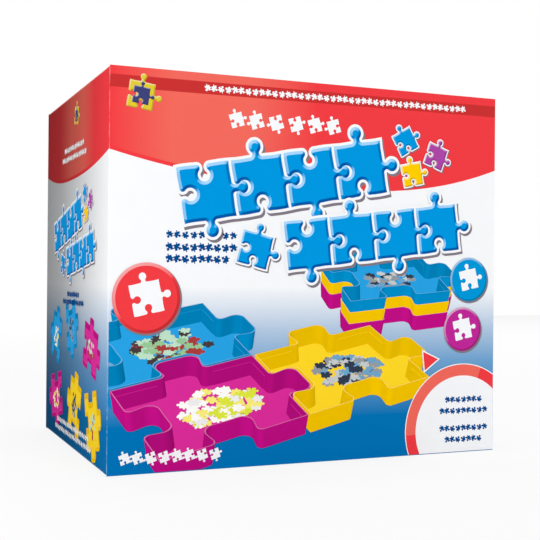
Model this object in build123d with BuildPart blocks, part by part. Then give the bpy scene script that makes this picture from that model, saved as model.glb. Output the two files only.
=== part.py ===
from build123d import *
import os
from math import cos, radians, sin

# Puzzle sorter: a folded carton that stands upright and holds six sorting trays, each shaped
# like a piece of a jigsaw and nested in the one behind it. Millimetres, +Z up, the large
# printed face to the front (-Y), origin under the middle of the carton.

# Carton
board = 0.8                # thickness of the printed board
crease_radius = 0.7        # outside of a folded edge
raw_setback = 0.2          # a cut edge stops this far short of the face that it meets
flap_gap = 0.3             # between folded flaps that lie one over the other
lid_side_setback = 1.2     # the lid and the bottom are narrower than the carton, each side
lid_tuck_length = 18.0
lid_tuck_lean = 8.0        # degrees that the lid's tuck flap leans inwards
bottom_tuck_length = 24.0
tuck_side_cut = 3.0        # the tuck flaps are narrower than the lid, each side
tuck_corner_radius = 11.0
dust_length = 64.0
dust_corner_cut = 9.0
dust_root_setback = 2.5    # between a dust flap's back corner and the back panel
dust_front_setback = 1.2   # between a dust flap's front corner and the first tray's rim
dust_front_taper = 4.0     # how far the front edge runs back over the flap's length
dust_back_slope = 0.88     # the back edge runs forwards this much for each mm of the flap
glue_flap_width = 18.0
glue_flap_end_gap = 3.0    # between the glue flap and the dust flaps
glue_flap_taper = 9.0      # how much shorter its free edge is, each end

# Trays, all alike. Depths run from a tray's rim to its underside.
tray_count = 6
tray_depth = 36.5
nest_depth = 10.5          # how far a tray drops into the one below it
body_width = 208.0
body_height = 178.0
knob_half_width = 32.0
knob_reach = 40.0
knob_head_radius = 14.0
knob_neck_radius = 8.0
knob_flare = 10.0          # degrees that a knob's sides spread towards its head
socket_clearance = 0.4     # a socket is larger than a knob, all round
rim_wall = 1.3
ledge_width = 1.0          # of the ledges inside each tray that carry the next one
ledge_end_gap = 4.0        # from a ledge's ends to the corner and to the knob's neck
tray_floor = 1.6
nest_clearance = 0.35      # sideways, between nested walls
seat_gap = 0.2             # between a tray's underside and the ledges that carry it
tray_colours = ("blue", "yellow", "magenta")

# Room for the trays in the carton
tuck_room = 4.6            # from the front panel to the first tray's rim, for the tuck flap
back_play = 0.4            # from the last tray's underside to the back panel
stand_play = 0.3           # from the bottom dust flaps to the trays that stand on them
top_room = 2.9             # from the trays to the top dust flaps
side_room = 2.2            # from the trays to each side panel, with the glue flap in it

# Worked out from the sizes above
nest_rise = tray_depth - nest_depth
tray_pitch = nest_rise + seat_gap
stack_depth = tray_depth + (tray_count - 1) * tray_pitch
carton_depth = 2 * board + tuck_room + stack_depth + back_play
carton_width = 2 * board + 2 * side_room + body_width + knob_reach
bottom_dust_z = board + flap_gap
tray_foot_z = bottom_dust_z + board + stand_play
top_dust_z = tray_foot_z + body_height + knob_reach + top_room + board
carton_height = top_dust_z + flap_gap + board
half_width = carton_width / 2
half_depth = carton_depth / 2
middle_z = carton_height / 2
inner_front_y = -half_depth + board
first_rim_y = inner_front_y + tuck_room
body_x = -knob_reach / 2
body_z = tray_foot_z + body_height / 2
wall_lean = (rim_wall + nest_clearance) / nest_rise
fold_reach = 4 * (board + crease_radius)


def folded_panel(corners, index, thickness=board):
    """Section of one panel of a strip of board that is folded at its inner corners.

    The board lies to the left of the line through the corners. A mitre parts the panel from
    its neighbours at each fold, and the strip's first and last panels end in a cut edge. A
    greater thickness gives the area that trims a panel whose other two edges are folded.
    """
    points = [Vector(*corner) for corner in corners]
    start, end = points[index], points[index + 1]
    inwards = (end - start).normalized().rotate(Axis.Z, 90) * fold_reach
    near, far = start + inwards, end + inwards
    if index > 0:
        near = start + fold_mitre(*points[index - 1 : index + 2])
    if index + 2 < len(points):
        far = end + fold_mitre(*points[index : index + 3])
    with BuildSketch() as section:
        with BuildLine():
            FilletPolyline(*points[max(index - 1, 0) : index + 3], radius=crease_radius)
            offset(amount=thickness, side=Side.LEFT)
        make_face()
        Polygon(start, end, far, near, align=None, mode=Mode.INTERSECT)
    return section.sketch


def fold_mitre(before, corner, after):
    """Vector along the mitre at a fold, from its outer corner into the strip."""
    halfway = (before - corner).normalized() + (after - corner).normalized()
    return halfway.normalized() * fold_reach


# The carton's folds, each a strip of panels seen end on
lean = radians(lid_tuck_lean)
lid_front_y = inner_front_y + flap_gap
wall_folds = (
    (half_width - board, half_depth - glue_flap_width),
    (half_width - board, half_depth),
    (-half_width, half_depth),
    (-half_width, -half_depth),
    (half_width, -half_depth),
    (half_width, half_depth - raw_setback),
)
glue_section, back_section, left_section, front_section, right_section = (
    folded_panel(wall_folds, index) for index in range(5)
)
closure_folds = (
    (inner_front_y, bottom_tuck_length),
    (inner_front_y, 0),
    (half_depth, 0),
    (half_depth, carton_height),
    (lid_front_y, carton_height),
    (lid_front_y + lid_tuck_length * sin(lean), carton_height - lid_tuck_length * cos(lean)),
)
bottom_tuck_section, bottom_section, lid_section, lid_tuck_section = (
    folded_panel(closure_folds, index) for index in (0, 1, 3, 4)
)
back_trim = folded_panel(closure_folds, 2, fold_reach)
dust_folds = (
    (half_width - dust_length, bottom_dust_z),
    (half_width, bottom_dust_z),
    (half_width, top_dust_z),
    (half_width - dust_length, top_dust_z),
)
bottom_dust_section = folded_panel(dust_folds, 0)
top_dust_section = folded_panel(dust_folds, 2)
right_trim = folded_panel(dust_folds, 1, fold_reach)
left_trim = folded_panel([(-x, z) for x, z in reversed(dust_folds)], 1, fold_reach)

# Front panel, its top and bottom edges cut
with BuildPart() as front_panel:
    with BuildSketch(Plane.XY.offset(raw_setback)):
        add(front_section)
    extrude(amount=carton_height - 2 * raw_setback)

# Side panels, folded over at top and bottom into the dust flaps
dust_front_y = first_rim_y + dust_front_setback
dust_back_y = half_depth - board - dust_root_setback

with BuildPart() as right_panel:
    with BuildSketch(Plane.XY.offset(bottom_dust_z)):
        add(right_section)
    extrude(amount=top_dust_z - bottom_dust_z)
    with BuildSketch(Plane.XZ.offset(-dust_back_y)):
        with Locations((half_width, middle_z)):
            Rectangle(2 * fold_reach, carton_height)
        add(right_trim, mode=Mode.SUBTRACT)
    extrude(amount=dust_back_y - dust_front_y, mode=Mode.SUBTRACT)

with BuildPart() as left_panel:
    with BuildSketch(Plane.XY.offset(bottom_dust_z)):
        add(left_section)
    extrude(amount=top_dust_z - bottom_dust_z)
    with BuildSketch(Plane.XZ.offset(-dust_back_y)):
        with Locations((-half_width, middle_z)):
            Rectangle(2 * fold_reach, carton_height)
        add(left_trim, mode=Mode.SUBTRACT)
    extrude(amount=dust_back_y - dust_front_y, mode=Mode.SUBTRACT)

# Back panel, folded over at the top into the lid and at the bottom into the bottom panel
lid_half_width = half_width - lid_side_setback
tuck_half_width = lid_half_width - tuck_side_cut

with BuildPart() as back_panel:
    with BuildSketch():
        add(back_section)
    extrude(amount=carton_height)
    with BuildSketch(Plane.YZ.offset(-lid_half_width)):
        with Locations((half_depth, middle_z)):
            Rectangle(2 * fold_reach, carton_height + 2 * fold_reach)
        add(back_trim, mode=Mode.SUBTRACT)
    extrude(amount=2 * lid_half_width, mode=Mode.SUBTRACT)

# Glue flap, inside the right panel, cut back at both ends towards its free edge
glue_low_z = bottom_dust_z + board + glue_flap_end_gap
glue_high_z = top_dust_z - board - glue_flap_end_gap
glue_free_y = half_depth - glue_flap_width
with BuildPart() as glue_flap:
    with BuildSketch():
        add(glue_section)
    extrude(amount=carton_height)
    with BuildSketch(Plane.YZ.offset(-half_width)):
        with BuildLine():
            Polyline(
                (half_depth, glue_low_z),
                (half_depth, glue_high_z),
                (glue_free_y, glue_high_z - glue_flap_taper),
                (glue_free_y, glue_low_z + glue_flap_taper),
                close=True,
            )
        make_face()
    extrude(amount=carton_width, mode=Mode.INTERSECT)

# Lid and bottom, each with a tuck flap behind the front panel
lid_tuck_drop = lid_tuck_length * cos(lean)

with BuildPart() as lid_panel:
    with BuildSketch(Plane.YZ):
        add(lid_section)
    extrude(amount=lid_half_width, both=True)

with BuildPart() as lid_tuck_flap:
    with BuildSketch(Plane.YZ):
        add(lid_tuck_section)
    extrude(amount=tuck_half_width, both=True)
    with BuildSketch(Plane.XZ.offset(-half_depth)):
        with Locations((0, carton_height)):
            RectangleRounded(2 * tuck_half_width, 2 * lid_tuck_drop, tuck_corner_radius)
    extrude(amount=carton_depth, mode=Mode.INTERSECT)

with BuildPart() as bottom_panel:
    with BuildSketch(Plane.YZ):
        add(bottom_section)
    extrude(amount=lid_half_width, both=True)

with BuildPart() as bottom_tuck_flap:
    with BuildSketch(Plane.YZ):
        add(bottom_tuck_section)
    extrude(amount=tuck_half_width, both=True)
    with BuildSketch(Plane.XZ.offset(-half_depth)):
        RectangleRounded(2 * tuck_half_width, 2 * bottom_tuck_length, tuck_corner_radius)
    extrude(amount=carton_depth, mode=Mode.INTERSECT)

pieces = {
    "front_panel": front_panel,
    "left_panel": left_panel,
    "right_panel": right_panel,
    "back_panel": back_panel,
    "glue_flap": glue_flap,
    "lid_panel": lid_panel,
    "lid_tuck_flap": lid_tuck_flap,
    "bottom_panel": bottom_panel,
    "bottom_tuck_flap": bottom_tuck_flap,
}

# Dust flaps. The back edge slopes, so that a flap can swing up as fast as the lid lets it.
dust_free_x = half_width - dust_length
for level, dust_section in (("top", top_dust_section), ("bottom", bottom_dust_section)):
    with BuildPart() as right_flap:
        with BuildSketch(Plane.XZ):
            add(dust_section)
        extrude(amount=half_depth, both=True)
        with BuildSketch() as dust_outline:
            with BuildLine():
                Polyline(
                    (half_width, dust_front_y),
                    (half_width, dust_back_y),
                    (dust_free_x, dust_back_y - dust_back_slope * dust_length),
                    (dust_free_x, dust_front_y + dust_front_taper),
                    close=True,
                )
            make_face()
            chamfer(dust_outline.vertices().sort_by(Axis.X)[:2], dust_corner_cut)
        extrude(amount=carton_height, mode=Mode.INTERSECT)
    with BuildPart() as left_flap:
        mirror(right_flap.part, about=Plane.YZ)
    pieces[f"{level}_dust_flap_right"] = right_flap
    pieces[f"{level}_dust_flap_left"] = left_flap

# Half of a knob: a neck arc that runs out of the tray's side, a side that spreads outwards by
# the flare, and a head arc. Each is tangent to the next.
flare = radians(knob_flare)
arc_turn = 90 + knob_flare
arc_rise = (knob_neck_radius + knob_head_radius) * (1 + sin(flare))
cheek_length = (knob_reach - arc_rise) / cos(flare)
cheek_top_x = knob_half_width - knob_head_radius * (1 - cos(flare))
neck_x = cheek_top_x - cheek_length * sin(flare) + knob_neck_radius * cos(flare)


def knob_outline(widening, clearance=0.0):
    """A knob that stands on the X axis, its halves moved apart by the widening.

    With a clearance it is the socket that such a knob drops into.
    """
    neck_radius = knob_neck_radius - clearance
    head_radius = knob_head_radius + clearance
    with BuildSketch() as knob:
        with BuildLine():
            neck = JernArc((neck_x + widening, 0), (-1, 0), neck_radius, -arc_turn)
            cheek = PolarLine(neck @ 1, cheek_length + clearance, direction=neck % 1)
            head = JernArc(cheek @ 1, cheek % 1, head_radius, arc_turn)
            Line(head @ 1, (0, knob_reach))
            Line((0, 0), neck @ 0)
            mirror(about=Plane.YZ)
        make_face()
    return knob.sketch


def tray_level(rim_y, depth, inset):
    """Section of a tray at a depth below its rim, drawn in by the inset all round.

    Knobs stand on the right and the top, and sockets are cut on the left and the bottom.
    """
    knob = knob_outline(-inset)
    socket = knob_outline(inset, socket_clearance)
    side_x = body_width / 2 - inset
    side_z = body_height / 2 - inset
    with BuildSketch(Plane.XZ.offset(-rim_y - depth)) as level:
        with Locations((body_x, body_z)):
            Rectangle(2 * side_x, 2 * side_z)
        with Locations((body_x, body_z + side_z), Location((body_x + side_x, body_z, 0), (0, 0, -90))):
            add(knob)
        with Locations((body_x, body_z - side_z), Location((body_x - side_x, body_z, 0), (0, 0, -90))):
            add(socket, mode=Mode.SUBTRACT)
    return level.sketch


# Trays. Their walls lean in towards the underside, so that one drops into the next as far as
# the ledges inside it, two on each side, which lean with the wall that they stand on.
floor_depth = tray_depth - tray_floor
ledge_inset = rim_wall + wall_lean * nest_depth
ledge_depth = floor_depth - nest_depth + tray_floor / 2
ledge_angles = {0: (body_width, body_height), 90: (body_height, body_width)}
ledge_angles |= {angle + 180: sizes for angle, sizes in ledge_angles.items()}
for number in range(tray_count):
    rim_y = first_rim_y + number * tray_pitch
    rim = tray_level(rim_y, 0, 0)
    underside = tray_level(rim_y, tray_depth, wall_lean * tray_depth)
    rim_inside = tray_level(rim_y, 0, rim_wall)
    floor_edge = tray_level(rim_y, floor_depth, rim_wall + wall_lean * floor_depth)
    with BuildPart() as tray:
        loft([rim, underside], ruled=True)
        loft([rim_inside, floor_edge], ruled=True, mode=Mode.SUBTRACT)
        for angle, (side_length, across) in ledge_angles.items():
            ledge_length = side_length / 2 - neck_x - 2 * ledge_end_gap
            ledge_x = (side_length / 2 + neck_x) / 2
            inwards = Vector(0, 0, -wall_lean).rotate(Axis.Y, -angle)
            with BuildSketch(Plane.XZ.offset(-rim_y - nest_depth)):
                with Locations(Location((body_x, body_z, 0), (0, 0, angle))):
                    with Locations((-ledge_x, across / 2 - ledge_inset), (ledge_x, across / 2 - ledge_inset)):
                        Rectangle(ledge_length, 2 * ledge_width)
            extrude(amount=ledge_depth, dir=inwards + Vector(0, 1, 0))
    colour = tray_colours[number % len(tray_colours)]
    pieces[f"tray_{colour}_{number // len(tray_colours) + 1}"] = tray

os.makedirs("parts", exist_ok=True)
for name, piece in pieces.items():
    piece.part.label = name
    export_step(piece.part, f"parts/{name}.step")
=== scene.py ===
"""Puzzle sorter: a printed folding carton of nested, jigsaw-shaped sorting trays."""

import random
from math import cos, pi, radians, sin, sqrt

import bmesh
import bpy
from bpy.props import FloatProperty, FloatVectorProperty, IntProperty, PointerProperty
from mathutils import Matrix, Vector


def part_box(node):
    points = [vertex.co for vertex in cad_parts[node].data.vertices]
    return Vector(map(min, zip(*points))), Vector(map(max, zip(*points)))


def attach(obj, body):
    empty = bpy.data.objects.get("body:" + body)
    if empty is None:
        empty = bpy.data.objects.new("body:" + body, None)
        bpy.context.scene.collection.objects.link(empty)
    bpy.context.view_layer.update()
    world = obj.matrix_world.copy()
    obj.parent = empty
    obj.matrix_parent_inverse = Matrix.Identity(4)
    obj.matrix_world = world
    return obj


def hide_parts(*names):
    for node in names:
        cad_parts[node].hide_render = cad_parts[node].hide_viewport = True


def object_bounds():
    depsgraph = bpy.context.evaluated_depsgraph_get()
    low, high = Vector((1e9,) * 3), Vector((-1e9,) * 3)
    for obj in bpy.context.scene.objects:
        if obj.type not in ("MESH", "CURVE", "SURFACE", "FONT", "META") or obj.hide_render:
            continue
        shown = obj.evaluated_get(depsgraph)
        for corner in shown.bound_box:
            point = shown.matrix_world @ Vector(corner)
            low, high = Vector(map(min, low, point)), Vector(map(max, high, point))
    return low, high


bl_info = {
    "name": "Puzzle Sorter",
    "version": (1, 0, 0),
    "blender": (4, 5, 0),
    "location": "3D View > Sidebar > Puzzle Sorter",
    "description": "Printed carton of jigsaw-shaped sorting trays",
    "category": "Object",
}

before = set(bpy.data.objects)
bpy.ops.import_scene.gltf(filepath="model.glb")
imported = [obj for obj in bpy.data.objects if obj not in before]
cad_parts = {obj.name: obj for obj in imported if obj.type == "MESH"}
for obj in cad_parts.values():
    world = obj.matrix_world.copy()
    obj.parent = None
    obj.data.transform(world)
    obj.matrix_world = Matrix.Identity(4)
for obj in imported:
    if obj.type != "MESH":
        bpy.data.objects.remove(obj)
cad_low, cad_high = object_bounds()

MM = 0.001
TRAYS = [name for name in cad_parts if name.startswith("tray_")]
CENTRE = (cad_low + cad_high) / 2
HALF = (cad_high - cad_low) / 2
NEAR_EDGE = Vector((-HALF.x, -HALF.y, HALF.z))

# Depth of the print in the board, width worn along a crease, and width that plates leave bare
SKIN = 0.3 * MM
WORN = 0.3 * MM
CREASE = 0.7 * MM
# Distance within which a CAD mesh's doubles are merged
WELD = 0.002 * MM
# Height of each tray in a stack above the one below
NEST_PITCH = 26.2 * MM


def ink(red, green, blue):
    """A printer's colour in steps of 255, as the linear colour that a shader takes."""
    steps = (value / 255 for value in (red, green, blue))
    return tuple(s / 12.92 if s <= 0.04045 else ((s + 0.055) / 1.055) ** 2.4 for s in steps)


def colour_property(name, description, default):
    return FloatVectorProperty(name=name, description=description, default=default, size=3,
                               min=0.0, max=1.0, subtype="COLOR")


def length_property(name, description, default):
    return FloatProperty(name=name, description=description, default=default, min=0.0,
                         unit="LENGTH", subtype="DISTANCE")


def number_property(name, description, default, **kind):
    return FloatProperty(name=name, description=description, default=default, **kind)


class CartonInks(bpy.types.PropertyGroup):
    """Colours of the printed board"""

    red: colour_property("Header red", "The header at the carton's edges", ink(239, 61, 67))
    salmon: colour_property("Header glow", "The lightest part of the header", ink(240, 105, 92))
    band: colour_property("Band", "The darker band across the top of the header", ink(200, 50, 50))
    sky: colour_property("Sky", "The middle of the blue fade", ink(110, 162, 207))
    deep: colour_property("Deep blue", "The foot of the blue fade", ink(0, 115, 181))
    white: colour_property("White", "Printed white", ink(246, 248, 250))
    greyboard: colour_property("Greyboard", "The unprinted inside of the board", ink(188, 184, 176))
    navy: colour_property("Navy", "Small dark pieces", ink(0, 74, 140))
    shadow: colour_property("Shadow", "Printed shadow of the large pieces", ink(128, 120, 130))
    title: colour_property("Title blue", "Face of the large jigsaw pieces", ink(0, 150, 222))
    title_light: colour_property("Title light", "Lit bevel of the large pieces", ink(170, 218, 252))
    title_dark: colour_property("Title dark", "Shaded bevel of the large pieces", ink(0, 82, 160))
    violet: colour_property("Violet", "A loose piece beside the large ones", ink(170, 70, 165))
    plum: colour_property("Plum", "The front's lowest round badge", ink(190, 40, 150))
    gold: colour_property("Gold", "The larger piece of the small badges", ink(222, 200, 50))
    indigo: colour_property("Indigo", "The piece on it", ink(62, 66, 120))


class TrayPlastics(bpy.types.PropertyGroup):
    """Colours and edges of the moulded trays"""

    blue: colour_property("Blue", "Blue trays", ink(0, 150, 214))
    yellow: colour_property("Yellow", "Yellow trays", ink(255, 205, 0))
    magenta: colour_property("Magenta", "Magenta trays", ink(206, 16, 142))
    edge_radius: length_property("Edge radius", "Rounding of a tray's edges", 0.3 * MM)


class PrintSizes(bpy.types.PropertyGroup):
    """Sizes of the printed motifs"""

    header_middle: length_property("Header foot", "Lowest height of the header", 162 * MM)
    header_narrow: length_property("Narrow header foot", "Its height on a narrow wall", 170.3 * MM)
    header_sides: length_property("Header at the creases", "Its height at the creases", 179 * MM)
    fade_top: length_property("Fade", "Height at which the blue has faded out", 104 * MM)
    title_pitch: length_property("Large pieces", "Pitch of the large jigsaw pieces", 33.5 * MM)
    title_bevel: length_property("Bevel", "Width of the large pieces' printed bevel", 1.9 * MM)
    title_outline: length_property("Outline", "Width of the white line round them", 1.7 * MM)
    ink_step: length_property("Ink layer", "Thickness of one printed layer", 0.03 * MM)
    picture_scale: number_property("Picture scale", "Of the front's trays", 0.448, min=0.05)
    picture_relief: length_property("Picture layer", "Thickness of a printed picture", 0.22 * MM)
    pile_count: IntProperty(name="Loose pieces", description="Jigsaw pieces in a pictured tray",
                            default=66, min=0)


class StudioSettings(bpy.types.PropertyGroup):
    """Camera, lamps and floor"""

    camera_turn: number_property("Camera turn", "From straight in front, to the left",
                                 radians(20.94), subtype="ANGLE")
    camera_roll: number_property("Camera roll", "About the view's axis", radians(0.49),
                                 subtype="ANGLE")
    camera_height: length_property("Camera height", "Above the floor", 110.4 * MM)
    corner_depth: length_property("Corner depth", "From the camera to the near edge", 515.2 * MM)
    corner_left: length_property("Corner left", "From the view's axis to the near edge", 58.9 * MM)
    lens: number_property("Lens", "Focal length in mm", 63.04, min=1.0)
    shift_across: number_property("Shift across", "Share of the picture's width", 0.1)
    shift_up: number_property("Shift up", "Share of the picture's width", 0.0098)
    key_power: number_property("Key", "Power of the front lamp", 11.8, unit="POWER")
    side_power: number_property("Side", "Power of the side lamp", 0.4, unit="POWER")
    rear_power: number_property("Rear", "Power of a lamp behind the part", 9.0, unit="POWER")
    top_power: number_property("Top", "Power of the lamp above", 5.4, unit="POWER")
    sky_strength: number_property("Room light", "Strength of the white room", 0.45)
    floor: colour_property("Floor", "The pale floor", (0.9, 0.9, 0.9))
    floor_glow: number_property("Floor glow", "Share of white that the camera sees in it", 0.85,
                                min=0.0, max=1.0, subtype="FACTOR")
    floor_reach: length_property("Floor reach", "From its middle to its sides", 1.7)


def feed(tree, socket, value):
    """Links a socket, sets its value, or leaves it as it is."""
    if isinstance(value, bpy.types.NodeSocket):
        tree.links.new(value, socket)
    elif value is not None:
        socket.default_value = value


def add_node(tree, kind, *values, **settings):
    """A new node with its settings, and with values for its first sockets."""
    made = tree.nodes.new(kind)
    for key, value in settings.items():
        setattr(made, key, value)
    for socket, value in zip(made.inputs, values):
        feed(tree, socket, value)
    return made


class Finish:
    """A material, with short calls for the nodes that the finishes share"""

    def __init__(self, name, roughness, specular=0.5, coat=0.0):
        self.material = bpy.data.materials.new(name)
        self.material.use_nodes = True
        self.tree = self.material.node_tree
        self.shader = self.tree.nodes["Principled BSDF"]
        self.shader.inputs["Roughness"].default_value = roughness
        self.shader.inputs["Specular IOR Level"].default_value = specular
        self.shader.inputs["Coat Weight"].default_value = coat
        self.place = self.node("ShaderNodeTexCoord").outputs["Object"]
        self.x, self.y, self.z = self.node("ShaderNodeSeparateXYZ", self.place).outputs

    def node(self, kind, *values, **settings):
        return add_node(self.tree, kind, *values, **settings)

    def math(self, operation, *values, clamp=False):
        made = self.node("ShaderNodeMath", *values, operation=operation, use_clamp=clamp)
        return made.outputs[0]

    def above(self, value, limit, soft=0.25 * MM):
        """1 where the value is above the limit, 0 below it, with a soft step between."""
        past = self.math("SUBTRACT", value, limit)
        return self.math("MULTIPLY_ADD", past, 1 / soft, 0.5, clamp=True)

    def below(self, value, limit):
        """1 where the value is below the limit."""
        return self.math("SUBTRACT", 1.0, self.above(value, limit))

    def far(self, value, limit):
        """1 where the value is further from 0 than the limit."""
        return self.above(self.math("ABSOLUTE", value), limit)

    def mix(self, share, first, second, blend="MIX"):
        """Mixes two colours, which are sockets 6 and 7 of the node. Output 2 is the mixture."""
        made = self.node("ShaderNodeMix", share, data_type="RGBA", blend_type=blend)
        for socket, value in ((made.inputs[6], first), (made.inputs[7], second)):
            linked = isinstance(value, bpy.types.NodeSocket)
            feed(self.tree, socket, value if linked else (*value, 1.0))
        return made.outputs[2]

    def ramp(self, value, low, high, stops):
        """Colours at shares of the way from low to high."""
        share = self.math("DIVIDE", self.math("SUBTRACT", value, low), high - low, clamp=True)
        made = self.node("ShaderNodeValToRGB", share)
        ramp = made.color_ramp
        while len(ramp.elements) < len(stops):
            ramp.elements.new(0.5)
        for element, (position, colour) in zip(ramp.elements, stops):
            element.position = position
            element.color = (*colour, 1.0)
        return made.outputs[0]

    def noise(self, size, detail=2.0):
        return self.node("ShaderNodeTexNoise", self.place, None, 1 / size, detail).outputs[0]

    def grain(self, colour, size, strength):
        """The colour, a little lighter and darker from spot to spot."""
        share = self.math("MULTIPLY_ADD", self.noise(size), 2 * strength, 1 - strength)
        shade = self.node("ShaderNodeCombineColor", share, share, share).outputs[0]
        return self.mix(1.0, colour, shade, "MULTIPLY")

    def bump(self, height, depth):
        made = self.node("ShaderNodeBump", 1.0, depth)
        feed(self.tree, made.inputs["Height"], height)
        feed(self.tree, self.shader.inputs["Normal"], made.outputs[0])

    def finish(self, colour):
        feed(self.tree, self.shader.inputs["Base Color"], colour)
        return self.material


class PrintFinish(Finish):
    """Coated, printed board"""

    def __init__(self, name):
        super().__init__(name, roughness=0.75, specular=0.01)

    def finish(self, colour, mottle=0.012):
        """The material, with the board's faint waves and a mottle in its ink."""
        self.bump(self.noise(size=6 * MM, detail=4.0), depth=0.02 * MM)
        return super().finish(self.grain(colour, size=9 * MM, strength=mottle))


def printed_board(name, art, inside, crease=None):
    """Board with art outside, greyboard where the inside mask is 1, and a worn crease."""
    inks = bpy.context.scene.carton_inks
    board = PrintFinish(name)
    colour = art(board)
    if crease:
        scuffed = board.above(board.noise(size=2.5 * MM, detail=4.0), 0.5, soft=0.25)
        wear = board.math("MULTIPLY", board.far(*crease(board)), scuffed)
        colour = board.mix(board.math("MULTIPLY", wear, 0.45), colour, inks.white)
    paper = board.grain(inks.greyboard, size=1.2 * MM, strength=0.10)
    return board.finish(board.mix(inside(board), colour, paper))


def ink_material():
    """Printing ink whose colour is the piece's own, with the board's gloss."""
    known = bpy.data.materials.get("printing_ink")
    if known:
        return known
    board = PrintFinish("printing_ink")
    colour = board.node("ShaderNodeAttribute", attribute_name="ink").outputs["Color"]
    return board.finish(colour, mottle=0.02)


# Shares of a wall's width where the header's glow starts, is full, dims and ends
WIDE_GLOW = (0.0, 0.145, 0.335, 0.50)
NARROW_GLOW = (0.20, 0.36, 0.56, 0.76)
# Where a wide and a narrow wall's header is lowest, from the wall's middle
WIDE_LOWEST = 22 * MM
NARROW_LOWEST = 15 * MM
# Power of the curve of its foot, and the height of the plain red line along the foot
HEADER_CURVE = 2.3
FOOT_LINE = 2.2 * MM
# Heights of the darker band's edges
BAND = (213 * MM, 220 * MM)
# Shares of a narrow wall's depth, from the front, and the light that painted shade leaves there
NARROW_PAINTED_SHADE = ((0.0, 1.0), (0.14, 0.88), (0.43, 0.645), (0.70, 0.46), (1.0, 0.37))


def header_glow(finish, across, half, shares):
    """Red across a face, with a lighter stretch."""
    inks = bpy.context.scene.carton_inks
    stops = zip(shares, (inks.red, inks.salmon, inks.salmon, inks.red))
    return finish.ramp(across, -half, half, list(stops))


def header_height(finish, across, half, lowest, foot, sides):
    """Height of the header's curved foot, which rises from its lowest place to both creases."""
    along = finish.math("SUBTRACT", across, lowest)
    share = finish.math("MAXIMUM", finish.math("DIVIDE", along, half - lowest),
                        finish.math("DIVIDE", along, -half - lowest))
    curve = finish.math("POWER", share, HEADER_CURVE)
    return finish.math("MULTIPLY_ADD", curve, sides - foot, foot)


def wall_art(finish, across, narrow):
    """Red header with a curved foot over white, which fades to blue below; a narrow wall also gets
    painted shade.
    """
    scene = bpy.context.scene
    inks, sizes = scene.carton_inks, scene.print_sizes
    if narrow:
        half, lowest, foot, shares = HALF.y, NARROW_LOWEST, sizes.header_narrow, NARROW_GLOW
    else:
        half, lowest, foot, shares = HALF.x, WIDE_LOWEST, sizes.header_middle, WIDE_GLOW
    pale = tuple(w * 0.36 + s * 0.64 for w, s in zip(inks.white, inks.sky))
    stops = zip((0.0, 0.25, 0.56, 0.75, 1.0), (inks.deep, inks.deep, inks.sky, pale, inks.white))
    fade = finish.ramp(finish.z, 0.0, sizes.fade_top, list(stops))
    header = header_glow(finish, across, half, shares)
    if not narrow:
        stripe = finish.math("MULTIPLY", finish.above(finish.z, BAND[0]),
                             finish.below(finish.z, BAND[1]))
        header = finish.mix(stripe, header, inks.band)
    edge = header_height(finish, across, half, lowest, foot, sizes.header_sides)
    line = finish.math("ADD", edge, FOOT_LINE)
    header = finish.mix(finish.above(finish.z, line), inks.red, header)
    colour = finish.mix(finish.above(finish.z, edge), fade, header)
    # Painted shade: a narrow wall is made darker from the front towards the back, where less light
    # falls
    if narrow:
        steps = [(share, (light,) * 3) for share, light in NARROW_PAINTED_SHADE]
        shade = finish.ramp(across, -half, half, steps)
        colour = finish.mix(1.0, colour, shade, "MULTIPLY")
    return colour


def dress(node, material):
    """Gives a CAD node its finish."""
    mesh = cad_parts[node].data
    mesh.materials.clear()
    mesh.materials.append(material)


def face_frame(face):
    """Matrix from a printed face's own frame (right, up, out, from its middle) to the carton's."""
    out = Vector({"front": (0, -1, 0), "left": (-1, 0, 0), "right": (1, 0, 0), "back": (0, 1, 0),
                  "lid": (0, 0, 1)}[face])
    up = Vector((0, 1, 0) if face == "lid" else (0, 0, 1))
    turn = Matrix((up.cross(out), up, out)).transposed()
    return Matrix.Translation(CENTRE + out * HALF) @ turn.to_4x4()


def flat(x, y, angle=0.0, lift=0.0, size=1.0):
    """Place on a printed face, in metres from its middle."""
    return Matrix.Translation((x, y, lift)) @ Matrix.Rotation(angle, 4, "Z") @ Matrix.Scale(size, 4)


# Sides of a loose piece: bottom, right, top and left
PIECE_KINDS = ((-1, 1, 1, -1), (1, 1, -1, -1), (1, -1, 1, -1))
# A knob on a side of length 1: along the side and out of it, for each point and its two handles
HALF_KNOB = (
    ((0.375, 0.000), (0.300, 0.000), (0.408, 0.000)),
    ((0.435, 0.060), (0.435, 0.027), (0.435, 0.076)),
    ((0.417, 0.103), (0.428, 0.092), (0.393, 0.126)),
    ((0.380, 0.190), (0.380, 0.157), (0.380, 0.256)),
)
KNOB = (
    *HALF_KNOB,
    ((0.500, 0.310), (0.434, 0.310), (0.566, 0.310)),
    *(tuple((1 - along, out) for along, out in (place, after, before))
      for place, before, after in reversed(HALF_KNOB)),
)
# Reach of a corner's handles along its sides, and how far a side with a knob bows there
CORNER_HANDLE = 0.15
CORNER_BOW = 0.015


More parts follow.
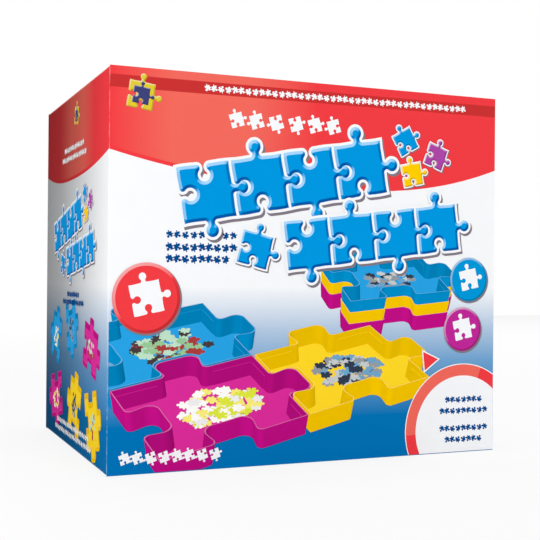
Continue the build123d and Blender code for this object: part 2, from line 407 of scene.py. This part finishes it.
def jigsaw_outline(kinds, detail, grow=0.0):
    """Mesh of a unit jigsaw piece's outline: 1 for a knob, -1 for a socket and 0 for a flat side.

    The sides run bottom, right, top and left, and detail is the number of steps in each curve.
    """
    curve = bpy.data.curves.new("outline", "CURVE")
    curve.dimensions = "2D"
    curve.fill_mode = "NONE"
    spline = curve.splines.new("BEZIER")
    points = []
    for side, kind in enumerate(kinds):
        turn = Matrix.Rotation(side * pi / 2, 2)
        back = Matrix.Rotation((side - 1) * pi / 2, 2)
        corner = turn @ Vector((-0.5, -0.5))
        last = back @ Vector((-CORNER_HANDLE, CORNER_BOW * kinds[side - 1]))
        following = turn @ Vector((CORNER_HANDLE, CORNER_BOW * kind))
        points.append((corner, corner + last, corner + following))
        if kind:
            points += [tuple(turn @ Vector((along - 0.5, -0.5 - kind * out)) for along, out in row)
                       for row in KNOB]
    spline.bezier_points.add(len(points) - 1)
    spline.use_cyclic_u = True
    spline.resolution_u = detail
    for point, (place, before, after) in zip(spline.bezier_points, points):
        point.handle_left_type = point.handle_right_type = "FREE"
        point.co = (*place, 0)
        point.handle_left = (*before, 0)
        point.handle_right = (*after, 0)
    holder = bpy.data.objects.new("outline", curve)
    mesh = bpy.data.meshes.new_from_object(holder)
    bpy.data.objects.remove(holder)
    bpy.data.curves.remove(curve)
    if grow:
        widen(mesh, grow)
    return mesh


def lifted(bm, made, height):
    """Lifts the corners that an operator made, and lists them."""
    top = [part for part in made["geom"] if isinstance(part, bmesh.types.BMVert)]
    bmesh.ops.translate(bm, vec=(0, 0, height), verts=top)
    return top


def widen(outline, width):
    """Moves an outline outwards by the width, along the normals of a wall raised on it."""
    bm = bmesh.new()
    bm.from_mesh(outline)
    foot = bm.verts[:]
    top = lifted(bm, bmesh.ops.extrude_edge_only(bm, edges=bm.edges[:]), 1)
    bmesh.ops.recalc_face_normals(bm, faces=bm.faces[:])
    bm.normal_update()
    for vert in foot:
        vert.co += vert.normal * width * vert.calc_shell_factor()
    bmesh.ops.delete(bm, geom=top, context="VERTS")
    bm.to_mesh(outline)
    bm.free()


class Plate:
    """A flat printed shape, which gets its colours and then the thickness of its ink"""

    def __init__(self, place, outline=None, radius=0.0, steps=96):
        self.bm = bmesh.new()
        self.inks = self.bm.loops.layers.float_color.new("ink")
        if outline:
            self.bm.from_mesh(outline)
            bmesh.ops.contextual_create(self.bm, geom=self.bm.edges[:])
        else:
            bmesh.ops.create_circle(self.bm, cap_ends=True, radius=radius, segments=steps)
        self.bm.normal_update()
        for face in self.bm.faces:
            if face.normal.z < 0:
                face.normal_flip()
        bmesh.ops.transform(self.bm, matrix=place, verts=self.bm.verts[:])

    def colour(self, face, colour):
        for loop in face.loops:
            loop[self.inks] = (*colour, 1.0)

    def fill(self, colour):
        for face in self.bm.faces:
            self.colour(face, colour)
        return self

    def rim(self, width, tone):
        """Colours a rim inside the edge, whose tone depends on how it faces the light.

        The tone is called with 1 for towards the light, at the upper left, and -1 for away. Places
        on the inner edge that come closer than a share of the width are merged.
        """
        middle = self.bm.faces[:]
        ring = bmesh.ops.inset_region(self.bm, faces=middle, thickness=width,
                                      use_even_offset=True, use_boundary=True)["faces"]
        # A dictionary keeps its order, so every run merges the same places
        inner = dict.fromkeys(vert for face in middle for vert in face.verts)
        lit = Vector((-0.6, 0.8, 0))
        for part in ring:
            near = [v.co for v in part.verts if v in inner]
            away = [v.co for v in part.verts if v not in inner]
            out = sum(away, Vector()) / len(away) - sum(near, Vector()) / len(near)
            self.colour(part, tone(out.normalized().dot(lit)))
        bmesh.ops.remove_doubles(self.bm, verts=list(inner), dist=0.12 * width)
        return self

    def bevel(self, width, colour, light=None, dark=None):
        """Colours the plate, and gives it a printed bevel."""
        light, dark = light or toned(colour, 1.0, 0.35), dark or toned(colour, 0.6)

        def tone(share):
            aim = light if share > 0 else dark
            return tuple(c + (a - c) * abs(share) ** 0.6 for c, a in zip(colour, aim))
        return self.fill(colour).rim(width, tone)

    def crop(self):
        """Cuts the plate at the front panel's creases."""
        cut(self.bm, HALF.x)
        return self

    def lay(self, sheet, thickness):
        """Gives the plate its thickness and adds it to the sheet."""
        made = bmesh.ops.extrude_face_region(self.bm, geom=self.bm.faces[:], use_keep_orig=True)
        lifted(self.bm, made, thickness)
        bmesh.ops.recalc_face_normals(self.bm, faces=self.bm.faces[:])
        sheet.add(self.bm)


def cut(bm, half, close=False):
    """Cuts a mesh just inside a wall's creases, and can close it there."""
    for way, reach in (((1, 0, 0), half - CREASE), ((0, 1, 0), HALF.z - CREASE)):
        for out in (Vector(way), -Vector(way)):
            geom = [*bm.verts, *bm.edges, *bm.faces]
            made = bmesh.ops.bisect_plane(bm, geom=geom, dist=1e-8, plane_co=reach * out,
                                          plane_no=out, clear_outer=True)["geom_cut"]
            if close:
                edges = [part for part in made if isinstance(part, bmesh.types.BMEdge)]
                bmesh.ops.holes_fill(bm, edges=edges, sides=0)


# Rows of large pieces: x and y in mm, turn, share of the pitch, count, first kind and ink level
TITLE_ROWS = (
    (-70, 45, 10, 1.0, 4, 1, 0),
    (-6, 17, 7, 0.9, 4, 1, 6),
    (-40, 13, -14, 0.6, 1, 0, 6),
)
# Steps in each curve of a large piece
FINE = 6
# Side of a large piece, as a share of the pitch, and of the loose pieces beside them
TITLE_SIDE = 0.95
LOOSE_SIDE = 13.5 * MM
# Widest outline, as a share of the side, that doesn't fold over itself in a socket
OUTLINE_LIMIT = 0.054
# Keeps neighbours' layers out of one plane
APART = 0.001 * MM


class Sheet:
    """The printed pieces of one face of the carton, made flat and then placed"""

    def __init__(self):
        self.bm = bmesh.new()

    def add(self, part):
        """Adds another mesh under construction, which is used up."""
        mesh = as_mesh(part, "part")
        self.bm.from_mesh(mesh)
        bpy.data.meshes.remove(mesh)

    def row(self, place, count, pitch, size, colour, detail=1):
        """A row of small one-colour jigsaw pieces, which starts at the place."""
        step = bpy.context.scene.print_sizes.ink_step
        outline = jigsaw_outline(PIECE_KINDS[0], detail)
        for number in range(count):
            turn = (number % 4) * pi / 2 + 0.3
            spot = place @ flat(number * pitch, 0, turn, 0, size)
            Plate(spot, outline).fill(colour).lay(self, step)

    def title(self, place, size=1.0):
        """Two interlocked rows of large bevelled pieces, and loose ones beside them.

        A piece is three layers: its shadow, its white outline and its bevelled face.
        """
        scene = bpy.context.scene
        inks, sizes = scene.carton_inks, scene.print_sizes
        step = sizes.ink_step
        blue = (inks.title, inks.title_light, inks.title_dark)
        loose = ((60, 81, 30, inks.title), (82, 73, -20, inks.violet),
                 (65, 61, 12, tray_ink("tray_yellow_1")))
        spots = []
        for x, y, degrees, share, count, first, level in TITLE_ROWS:
            start = flat(x * MM, y * MM, radians(degrees))
            for number in range(count):
                pitch = sizes.title_pitch * share
                spots.append((start @ flat(number * pitch, 0), TITLE_SIDE * pitch,
                              PIECE_KINDS[(first + number) % 2], blue, level))
        for x, y, degrees, own in loose:
            colours = (own, toned(own, 1.0, 0.45), toned(own, 0.55))
            spots.append((flat(x * MM, y * MM, radians(degrees)), LOOSE_SIDE, PIECE_KINDS[0],
                          colours, 6))
        for number, (spot, side, kinds, colours, level) in enumerate(spots):
            edge = min(sizes.title_outline, OUTLINE_LIMIT * side)
            back = jigsaw_outline(kinds, FINE, edge / side)
            scale = flat(0, 0, 0, 0, side)
            layers = [place @ flat(0, 0, 0, (level + lift) * step + number * APART, size)
                      for lift in (1, 3, 5)]
            away = flat(0.7 * edge, -0.9 * edge)
            Plate(layers[0] @ away @ spot @ scale, back).fill(inks.shadow).lay(self, step)
            Plate(layers[1] @ spot @ scale, back).fill(inks.white).lay(self, step)
            width = sizes.title_bevel * size * min(1.0, side / sizes.title_pitch)
            face = Plate(layers[2] @ spot @ scale, jigsaw_outline(kinds, FINE))
            face.bevel(width, *colours).lay(self, step)

    def badge(self, place, width):
        """A jigsaw piece on a larger one."""
        scene = bpy.context.scene
        inks, step = scene.carton_inks, scene.print_sizes.ink_step
        outline = jigsaw_outline(PIECE_KINDS[0], FINE)
        for share, colour, level in ((1.0, inks.gold, 1), (0.63, inks.indigo, 3)):
            spot = place @ flat(0, 0, radians(-8), level * step, share * width)
            Plate(spot, outline).bevel(0.045 * share * width, colour).lay(self, step)

    def make(self, name, body, face):
        """The finished piece, on a face of the carton."""
        bmesh.ops.transform(self.bm, matrix=face_frame(face), verts=self.bm.verts[:])
        return finished(self.bm, name, body, ink_material())


def as_mesh(bm, name):
    """The mesh under construction, which is used up, as a mesh."""
    mesh = bpy.data.meshes.new(name)
    bm.to_mesh(mesh)
    bm.free()
    return mesh


def placed(bm, name, material):
    """An object of the mesh under construction, at the origin."""
    mesh = as_mesh(bm, name)
    mesh.materials.append(material)
    piece = bpy.data.objects.new(name, mesh)
    bpy.context.scene.collection.objects.link(piece)
    return piece


def finished(bm, name, body, material):
    """A placed object that rides on a body."""
    piece = placed(bm, name, material)
    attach(piece, body)
    return piece


def tray_ink(node):
    """The colour of a tray, which is the second word of its name."""
    return getattr(bpy.context.scene.tray_plastics, node.split("_")[1])


def toned(colour, tone, white=0.0):
    """The colour made lighter or darker, and then mixed with a share of white."""
    return tuple(min(1.0, c * tone * (1 - white) + white) for c in colour)


def merged_tray(node):
    """Copy of a tray, under construction, with its loose triangles joined."""
    bm = bmesh.new()
    bm.from_mesh(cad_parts[node].data)
    bmesh.ops.remove_doubles(bm, verts=bm.verts[:], dist=WELD)
    return bm


def standing_tray(node):
    """Mesh of a tray, rim up with its middle on the floor's plane."""
    known = bpy.data.meshes.get(f"{node}_standing")
    if known:
        return known
    low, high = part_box(node)
    middle = Vector(((low.x + high.x) / 2, high.y, (low.z + high.z) / 2))
    bm = merged_tray(node)
    stand = Matrix.Rotation(-pi / 2, 4, "X") @ Matrix.Translation(-middle)
    bmesh.ops.transform(bm, matrix=stand, verts=bm.verts[:])
    return as_mesh(bm, f"{node}_standing")


# Distance from which the pictured trays are drawn, and where their light comes from
EYE_DISTANCE = 600 * MM
PICTURE_LIGHT = Vector((-0.35, -0.75, 0.56))
# Side of a pictured loose piece, its thickness, and its height above the piece before it
PILE_SIDE = 13 * MM
PILE_THICKNESS = 0.8 * MM
PILE_RISE = 0.1 * MM


def picture_tray(sheet, node, place):
    """Adds a tray to a picture, at the place, coloured by how each face lies."""
    bm = bmesh.new()
    inks = bm.loops.layers.float_color.new("ink")
    bm.from_mesh(standing_tray(node))
    bmesh.ops.transform(bm, matrix=place, verts=bm.verts[:])
    bm.normal_update()
    colour = tray_ink(node)
    contrast = 0.6 if node.startswith("tray_yellow") else 1.0
    top = max(v.co.z for v in bm.verts)
    rim = top - 0.1 * (top - min(v.co.z for v in bm.verts))
    for face in bm.faces:
        lit = max(0.0, face.normal.dot(PICTURE_LIGHT))
        if face.normal.z > 0.7:
            on_rim = face.calc_center_median().z > rim
            tone = toned(colour, 1.05, 0.16) if on_rim else toned(colour, 1.12, 0.02)
        else:
            dark, gain = (0.50, 0.30) if face.normal.z > 0 else (0.42, 0.42)
            tone = toned(colour, 1 - contrast * (dark - gain * lit))
        for loop in face.loops:
            loop[inks] = (*tone, 1.0)
    sheet.add(bm)


def picture_pile(sheet, place, spread, count, palette, seed):
    """Adds loose jigsaw pieces to a picture, lying about the place on a tray's floor."""
    chance = random.Random(seed)
    outlines = [jigsaw_outline(kinds, 1) for kinds in PIECE_KINDS]
    inks = [ink(*steps) for steps in palette]
    for number in range(count):
        away, around = spread * sqrt(chance.random()), chance.uniform(0, 2 * pi)
        turn, lift = chance.uniform(0, 2 * pi), 2.5 * MM + number * PILE_RISE
        spot = place @ flat(away * cos(around), 0.75 * away * sin(around), turn, lift, PILE_SIDE)
        Plate(spot, chance.choice(outlines)).fill(chance.choice(inks)).lay(sheet, PILE_THICKNESS)


def flatten(sheet, tilt, across, up, half):
    """Turns the picture's table into a thin perspective drawing, moved, and cut at the creases.

    The tilt is the height from which the table is seen, and near things stay above far ones.
    """
    sizes, bm = bpy.context.scene.print_sizes, sheet.bm
    lean = Matrix.Rotation(tilt - pi / 2, 4, "X")
    bmesh.ops.transform(bm, matrix=lean, verts=bm.verts[:])
    for vert in bm.verts:
        share = EYE_DISTANCE / (EYE_DISTANCE - vert.co.z)
        vert.co = (vert.co.x * share, vert.co.y * share, share)
    low, high = min(v.co.z for v in bm.verts), max(v.co.z for v in bm.verts)
    for vert in bm.verts:
        height = sizes.picture_relief * (vert.co.z - low) / (high - low)
        vert.co.z = sizes.ink_step + height
    bmesh.ops.translate(bm, vec=(across, up, 0), verts=bm.verts[:])
    cut(bm, half, close=True)
    bmesh.ops.recalc_face_normals(bm, faces=bm.faces[:])


class CartonOperator(bpy.types.Operator):
    """Shared base of the operators that make this object"""

    bl_options = {"REGISTER", "UNDO"}


class PUZZLE_OT_carton_walls(CartonOperator):
    """Print the carton's four walls, its glue flap and its closed bottom"""

    bl_idname = "puzzle.carton_walls"
    bl_label = "Carton walls"

    def execute(self, context):
        inks = context.scene.carton_inks
        self.wall("front", "x", "y", 1.0, -1.0)
        self.wall("back", "x", "y", -1.0, 1.0)
        self.wall("left", "y", "x", 1.0, -1.0)
        self.wall("right", "y", "x", 1.0, 1.0)
        dress("bottom_panel", printed_board(
            "bottom_print", lambda f: f.grain(inks.deep, size=20 * MM, strength=0.03),
            lambda f: f.above(f.z, SKIN)))
        plain = printed_board("plain_board", lambda f: inks.white,
                              lambda f: f.above(f.z, 10 * MM))
        for node in ("glue_flap", "bottom_tuck_flap", "bottom_dust_flap_left",
                     "bottom_dust_flap_right"):
            dress(node, plain)
        return {"FINISHED"}

    def wall(self, side, along, facing, turn, out):
        """Prints a wall whose art runs along one axis, and which faces out along another."""
        def art(finish):
            across = finish.math("MULTIPLY", getattr(finish, along), turn)
            return wall_art(finish, across, narrow=along == "y")

        def inside(finish):
            height = finish.math("MULTIPLY", getattr(finish, facing), out)
            return finish.below(height, getattr(HALF, facing) - SKIN)

        def crease(finish):
            return getattr(finish, along), getattr(HALF, along) - WORN

        dress(f"{side}_panel", printed_board(f"{side}_print", art, inside, crease))


class PUZZLE_OT_carton_flaps(CartonOperator):
    """Print the lid, its tuck flap and the top dust flaps"""

    bl_idname = "puzzle.carton_flaps"
    bl_label = "Lid and flaps"

    def execute(self, context):
        inks = context.scene.carton_inks
        top = cad_high.z
        dust_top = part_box("top_dust_flap_left")[1].z
        rear_stripe, tuck_bleed, dust_bleed = 16 * MM, 6 * MM, 5 * MM

        def lid_art(finish):
            glow = header_glow(finish, finish.x, HALF.x, WIDE_GLOW)
            return finish.mix(finish.above(finish.y, HALF.y - rear_stripe), glow, inks.band)

        def bleed(edge):
            """White board whose print runs over the crease for a few millimetres."""
            return lambda f: f.mix(f.far(*edge(f)), inks.white, inks.red)

        dress("lid_panel", printed_board(
            "lid_print", lid_art, lambda f: f.below(f.z, top - SKIN)))
        dress("lid_tuck_flap", printed_board(
            "tuck_print", bleed(lambda f: (f.z, top - tuck_bleed)),
            lambda f: f.above(f.y, -HALF.y + 1.9 * MM)))
        dust = printed_board(
            "dust_flap_print", bleed(lambda f: (f.x, HALF.x - dust_bleed)),
            lambda f: f.below(f.z, dust_top - SKIN))
        for node in ("top_dust_flap_left", "top_dust_flap_right"):
            dress(node, dust)
        return {"FINISHED"}


class PUZZLE_OT_trays(CartonOperator):
    """Mould the six trays, with rounded edges"""

    bl_idname = "puzzle.trays"
    bl_label = "Trays"

    def execute(self, context):
        radius = context.scene.tray_plastics.edge_radius
        sharp_angle, flat_angle = radians(40), radians(0.5)
        materials = {}
        for node in TRAYS:
            slot = f"{node.split('_')[1]}_plastic"
            if slot not in materials:
                materials[slot] = self.plastic(slot, tray_ink(node))
            bm = merged_tray(node)
            bmesh.ops.dissolve_limit(bm, angle_limit=flat_angle, verts=bm.verts[:],
                                     edges=bm.edges[:])
            sharp = [edge for edge in bm.edges
                     if len(edge.link_faces) == 2 and edge.calc_face_angle(0) > sharp_angle]
            bmesh.ops.bevel(bm, geom=sharp, offset=radius, offset_type="OFFSET", affect="EDGES",
                            segments=2, profile=0.5, material=-1, clamp_overlap=True)
            for face in bm.faces:
                face.smooth = True
            piece = finished(bm, f"{node}_moulding", node, materials[slot])
            piece.modifiers.new("face_normals", "WEIGHTED_NORMAL")
            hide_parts(node)
        return {"FINISHED"}

    def plastic(self, name, colour):
        """Glossy plastic with a faint cloudiness and a fine grain."""
        finish = Finish(name, roughness=0.27, coat=0.15)
        cloud = finish.mix(finish.noise(size=45 * MM, detail=3.0), toned(colour, 0.93),
                           toned(colour, 1.03, 0.01))
        finish.bump(finish.noise(size=0.8 * MM, detail=3.0), depth=0.006 * MM)
        return finish.finish(cloud)


class PUZZLE_OT_front_pieces(CartonOperator):
    """Print the front's jigsaw pieces, large and small"""

    bl_idname = "puzzle.front_pieces"
    bl_label = "Front pieces"

    # Rows of small pieces: x and y of the first, pitch and size in mm, count, ink and detail
    ROWS = (
        (-70, 103.9, 4.2, 3.0, 42, "white", 1),
        (-52, 87, 12.5, 8.0, 6, "white", FINE),
        (-92, 20.5, 4.8, 3.2, 9, "navy", 1),
        (-92, 13.5, 4.8, 3.6, 9, "navy", 1),
        (-92, 7, 4.8, 3.6, 8, "navy", 1),
    )

    def execute(self, context):
        scene = context.scene
        inks, sizes = scene.carton_inks, scene.print_sizes
        step = sizes.ink_step
        sheet = Sheet()
        sheet.title(flat(0, 0))
        for x, y, pitch, size, count, colour, detail in self.ROWS:
            sheet.row(flat(x * MM, y * MM, 0, step), count, pitch * MM, size * MM,
                      getattr(inks, colour), detail)
        over_picture = sizes.picture_relief + 2 * step
        sheet.row(flat(-117 * MM, -103.5 * MM, 0, over_picture), 8, 7.6 * MM, 5.6 * MM,
                  inks.white, 3)
        sheet.make("front_jigsaw_pieces", "carton", "front")
        return {"FINISHED"}


class PUZZLE_OT_pictured_trays(CartonOperator):
    """Print the trays pictured on the carton's front"""

    bl_idname = "puzzle.pictured_trays"
    bl_label = "Pictured trays"

    # Inks of the loose pieces in the trays
    PILES = (
        ((255, 255, 250), (250, 240, 120), (222, 232, 60), (240, 240, 240)),
        ((150, 155, 160), (110, 165, 205), (50, 60, 80), (200, 205, 205)),
        ((190, 225, 200), (170, 60, 60), (70, 60, 60), (150, 200, 150)),
    )
    # Trays that lie locked together, and their places in mm
    LOCKED = (("tray_magenta_1", 0, 0), ("tray_yellow_1", 212, 0), ("tray_blue_1", 0, 182))

    def execute(self, context):
        sizes = context.scene.print_sizes
        sheet = Sheet()
        share = sizes.picture_scale
        low_walls = Matrix.Diagonal((1, 1, 0.8, 1))
        grid = flat(0, 0, radians(24), 0, share) @ low_walls
        for number, (node, x, y) in enumerate(self.LOCKED):
            place = grid @ flat(x * MM, y * MM)
            picture_tray(sheet, node, place)
            picture_pile(sheet, place @ flat(8 * MM, 4 * MM), 56 * MM, sizes.pile_count,
                         self.PILES[number], seed=number)
        stack = flat(133 * MM, 140 * MM, radians(12), 0, 0.9 * share) @ low_walls
        for level, node in enumerate(("tray_magenta_1", "tray_yellow_1", "tray_blue_1")):
            picture_tray(sheet, node, stack @ flat(0, 0, 0, level * NEST_PITCH))
        picture_pile(sheet, stack @ flat(0, 8 * MM, 0, 2 * NEST_PITCH), 50 * MM, 40,
                     self.PILES[1], seed=9)
        flatten(sheet, radians(31), -62 * MM, -80 * MM, HALF.x)
        sheet.make("front_pictured_trays", "carton", "front")
        return {"FINISHED"}


class PUZZLE_OT_badges(CartonOperator):
    """Print the front's round badges, its ring and its pointer"""

    bl_idname = "puzzle.badges"
    bl_label = "Badges"

    def execute(self, context):
        scene = context.scene
        inks = scene.carton_inks
        step = scene.print_sizes.ink_step
        red, salmon, white = inks.red, inks.salmon, inks.white
        lift = scene.print_sizes.picture_relief + 2 * step
        sheet = Sheet()
        mark = jigsaw_outline(PIECE_KINDS[0], FINE)
        discs = ((-105, -15, 19.7, red), (107.3, -3.4, 13.8, tray_ink("tray_blue_1")),
                 (102.8, -34.8, 13.8, inks.plum))
        for x, y, radius, colour in discs:
            shadow = flat((x + 0.6) * MM, (y - 0.8) * MM, 0, lift - step)
            Plate(shadow, radius=(radius + 0.4) * MM).fill(inks.shadow).lay(sheet, step)
            disc = Plate(flat(x * MM, y * MM, 0, lift), radius=radius * MM)
            disc.bevel(0.09 * radius * MM, colour).lay(sheet, step)
            place = flat(x * MM, y * MM, radians(12), lift + 2 * step, 0.9 * radius * MM)
            Plate(place, mark).fill(white).lay(sheet, step)
        sheet.badge(flat(-109 * MM, 97 * MM), 15 * MM)
        for radius, colour, level in ((8.4, white, 0), (6.8, red, 2)):
            pointer = flat(78 * MM, -54 * MM, radians(-84), lift + level * step)
            Plate(pointer, radius=radius * MM, steps=3).fill(colour).lay(sheet, step)
        centre = flat(103 * MM, -98 * MM, 0, lift)
        Plate(centre, radius=41.6 * MM, steps=128).fill(white).crop().lay(sheet, step)
        ring = Plate(centre @ flat(0, 0, 0, 1.5 * step), radius=41 * MM, steps=128).fill(white)
        ring.rim(7 * MM, lambda share: salmon if share > 0.55 else red).crop().lay(sheet, step)
        for y, count in ((-79, 7), (-86, 9), (-97, 9), (-104, 7)):
            start = flat((104 - 2.0 * (count - 1)) * MM, y * MM, 0, lift + 3 * step)
            sheet.row(start, count, 4.0 * MM, 3.0 * MM, inks.navy)
        sheet.make("front_badges", "carton", "front")
        return {"FINISHED"}


class PUZZLE_OT_other_sides(CartonOperator):
    """Print the pictures on the carton's narrow walls, its back and its lid"""

    bl_idname = "puzzle.other_sides"
    bl_label = "Other sides"

    # Places of the six trays in mm, before they are spread over a wide wall
    SPOTS = ((-53, 16), (-1, 21), (52, 12), (-49, -37), (5, -31), (55, -40))
    # Inks of the loose pieces in the trays
    PILES = (
        ((255, 255, 250), (250, 240, 120)),
        ((150, 155, 160), (50, 60, 80)),
        ((190, 225, 200), (170, 60, 60)),
    )
    # Rows of small pieces: height in mm, count and ink
    ROWS = ((78, 13, "white"), (72, 16, "white"), (-15, 8, "navy"), (-20, 14, "navy"),
            (-99, 21, "white"), (-104.5, 24, "white"))

    def execute(self, context):
        scene = context.scene
        for face, seed in (("left", 3), ("right", 5)):
            self.picture(scene, face, HALF.y, title_size=0.62, title_height=-4 * MM, seed=seed)
        self.picture(scene, "back", HALF.x, title_size=0.95, title_height=-8 * MM, seed=7)
        sheet = Sheet()
        sheet.title(flat(0, -34 * MM), 0.8)
        sheet.make("lid_jigsaw_pieces", "lid", "lid")
        return {"FINISHED"}

    def picture(self, scene, face, half, title_size, title_height, seed):
        """Six trays with piles, a title, a badge and rows of small pieces, on one wall."""
        sizes, inks = scene.print_sizes, scene.carton_inks
        chance = random.Random(seed)
        sheet = Sheet()
        wide = half / HALF.y
        tray_size = 0.165 * (0.5 + 0.5 * wide)
        for number, (node, (x, y)) in enumerate(zip(TRAYS, self.SPOTS)):
            turn = radians(chance.choice((-14, 12)) + chance.choice((0, 90, 180, 270)))
            place = flat(x * MM * wide, y * MM, turn, 0, tray_size)
            picture_tray(sheet, node, place)
            picture_pile(sheet, place @ flat(-10 * MM, -10 * MM), 55 * MM, 24,
                         self.PILES[number % 3], seed=number)
        flatten(sheet, radians(58), 0, -56 * MM, half)
        sheet.title(flat(-6 * MM * wide, title_height), title_size)
        pitch, over_picture = 4.3 * MM * wide, sizes.picture_relief + 2 * sizes.ink_step
        for y, count, colour in self.ROWS:
            start = flat(-pitch * (count - 1) / 2, y * MM, 0, over_picture)
            sheet.row(start, count, pitch, 2.8 * MM, getattr(inks, colour))
        sheet.badge(flat(6 * MM * wide, 97 * MM), 11 * MM)
        sheet.make(f"{face}_pictures", "carton", face)


class PUZZLE_OT_stage(CartonOperator):
    """Set the floor, the lamps, the white room and the camera"""

    bl_idname = "puzzle.stage"
    bl_label = "Stage"

    # Name, place, aim and power setting of each lamp, and its size where that isn't 1 m
    LAMPS = (
        ("key_lamp", (0.1, -1.6, 0.8), CENTRE, "key_power"),
        ("side_lamp", (-0.36, -0.14, 0.12), NEAR_EDGE, "side_power", 0.1, 0.5),
        ("back_lamp", (0.3, 1.7, 0.9), CENTRE, "rear_power"),
        ("right_lamp", (1.8, 0.3, 0.6), CENTRE, "rear_power"),
        ("top_lamp", (0.0, 0.5, 1.9), CENTRE, "top_power"),
    )

    def execute(self, context):
        scene = context.scene
        studio = scene.studio_settings
        self.floor(studio)
        self.room(scene, studio)
        for name, place, aim, power, *size in self.LAMPS:
            self.lamp(scene, name, place, aim, getattr(studio, power), *size)
        self.camera(scene, studio)
        scene.view_settings.view_transform = "Standard"
        return {"FINISHED"}

    def floor(self, studio):
        """A pale floor, nearly white to the camera, which keeps the part's shadow."""
        bm = bmesh.new()
        bmesh.ops.create_grid(bm, x_segments=1, y_segments=1, size=studio.floor_reach)
        material = bpy.data.materials.new("pale_floor")
        material.use_nodes = True
        tree = material.node_tree
        tree.nodes.clear()
        seen = add_node(tree, "ShaderNodeLightPath").outputs["Is Camera Ray"]
        share = add_node(tree, "ShaderNodeMath", seen, studio.floor_glow, operation="MULTIPLY")
        diffuse = add_node(tree, "ShaderNodeBsdfDiffuse", (*studio.floor, 1.0))
        glow = add_node(tree, "ShaderNodeEmission")
        blend = add_node(tree, "ShaderNodeMixShader", share.outputs[0], diffuse.outputs[0],
                         glow.outputs[0])
        add_node(tree, "ShaderNodeOutputMaterial", blend.outputs[0])
        floor = placed(bm, "floor", material)

    def room(self, scene, studio):
        """Soft light from all sides, which is plain white to the camera and in reflections."""
        world = bpy.data.worlds.new("white_room")
        world.use_nodes = True
        tree = world.node_tree
        light = tree.nodes["Background"]
        light.inputs["Strength"].default_value = studio.sky_strength
        light.inputs["Color"].default_value = (1, 1, 1, 1)
        white = add_node(tree, "ShaderNodeBackground", (1, 1, 1, 1), 1.0)
        ray = add_node(tree, "ShaderNodeLightPath")
        seen = ray.outputs["Is Camera Ray"]
        for kind in ("Is Glossy Ray", "Is Transmission Ray"):
            either = add_node(tree, "ShaderNodeMath", seen, ray.outputs[kind], operation="MAXIMUM")
            seen = either.outputs[0]
        blend = add_node(tree, "ShaderNodeMixShader", seen, light.outputs[0], white.outputs[0])
        feed(tree, tree.nodes["World Output"].inputs[0], blend.outputs[0])
        scene.world = world

    def lamp(self, scene, name, place, aim, power, width=1.0, height=1.0):
        data = bpy.data.lights.new(name, "AREA")
        data.shape = "RECTANGLE"
        data.energy = power
        data.size = width
        data.size_y = height
        lamp = bpy.data.objects.new(name, data)
        lamp.location = place
        lamp.rotation_euler = (Vector(place) - aim).to_track_quat("Z", "Y").to_euler()
        lamp.visible_camera = False
        scene.collection.objects.link(lamp)

    def camera(self, scene, studio):
        """The photograph's view, fitted to the carton's corners."""
        data = bpy.data.cameras.new("camera")
        data.lens = studio.lens
        data.sensor_width = 36
        data.shift_x = studio.shift_across
        data.shift_y = studio.shift_up
        data.clip_start = 0.01
        turn = studio.camera_turn
        ahead = Vector((sin(turn), cos(turn), 0))
        right = Vector((cos(turn), -sin(turn), 0))
        edge = Vector((cad_low.x, cad_low.y, 0))
        place = edge - studio.corner_depth * ahead + studio.corner_left * right
        place.z = studio.camera_height
        camera = bpy.data.objects.new("camera", data)
        camera.matrix_world = (Matrix.Translation(place) @ Matrix.Rotation(-turn, 4, "Z")
                               @ Matrix.Rotation(pi / 2, 4, "X")
                               @ Matrix.Rotation(studio.camera_roll, 4, "Z"))
        scene.collection.objects.link(camera)
        scene.camera = camera


OPERATORS = (
    PUZZLE_OT_carton_walls,
    PUZZLE_OT_carton_flaps,
    PUZZLE_OT_trays,
    PUZZLE_OT_front_pieces,
    PUZZLE_OT_pictured_trays,
    PUZZLE_OT_badges,
    PUZZLE_OT_other_sides,
    PUZZLE_OT_stage,
)
SETTINGS = {
    "carton_inks": CartonInks,
    "tray_plastics": TrayPlastics,
    "print_sizes": PrintSizes,
    "studio_settings": StudioSettings,
}


class PUZZLE_PT_sidebar(bpy.types.Panel):
    """Operators and settings of the puzzle sorter"""

    bl_idname = "PUZZLE_PT_sidebar"
    bl_label = "Puzzle Sorter"
    bl_space_type = "VIEW_3D"
    bl_region_type = "UI"
    bl_category = "Puzzle Sorter"

    def draw(self, context):
        for operator in OPERATORS:
            self.layout.operator(operator.bl_idname)
        for name, group in SETTINGS.items():
            column = self.layout.column()
            for key in group.__annotations__:
                column.prop(getattr(context.scene, name), key)


def register():
    for name, group in SETTINGS.items():
        bpy.utils.register_class(group)
        setattr(bpy.types.Scene, name, PointerProperty(type=group))
    for operator in OPERATORS:
        bpy.utils.register_class(operator)
    bpy.utils.register_class(PUZZLE_PT_sidebar)


def unregister():
    bpy.utils.unregister_class(PUZZLE_PT_sidebar)
    for operator in reversed(OPERATORS):
        bpy.utils.unregister_class(operator)
    for name, group in SETTINGS.items():
        delattr(bpy.types.Scene, name)
        bpy.utils.unregister_class(group)


def main():
    register()
    for operator in OPERATORS:
        group, name = operator.bl_idname.split(".")
        getattr(getattr(bpy.ops, group), name)()


if __name__ == "__main__":
    main()
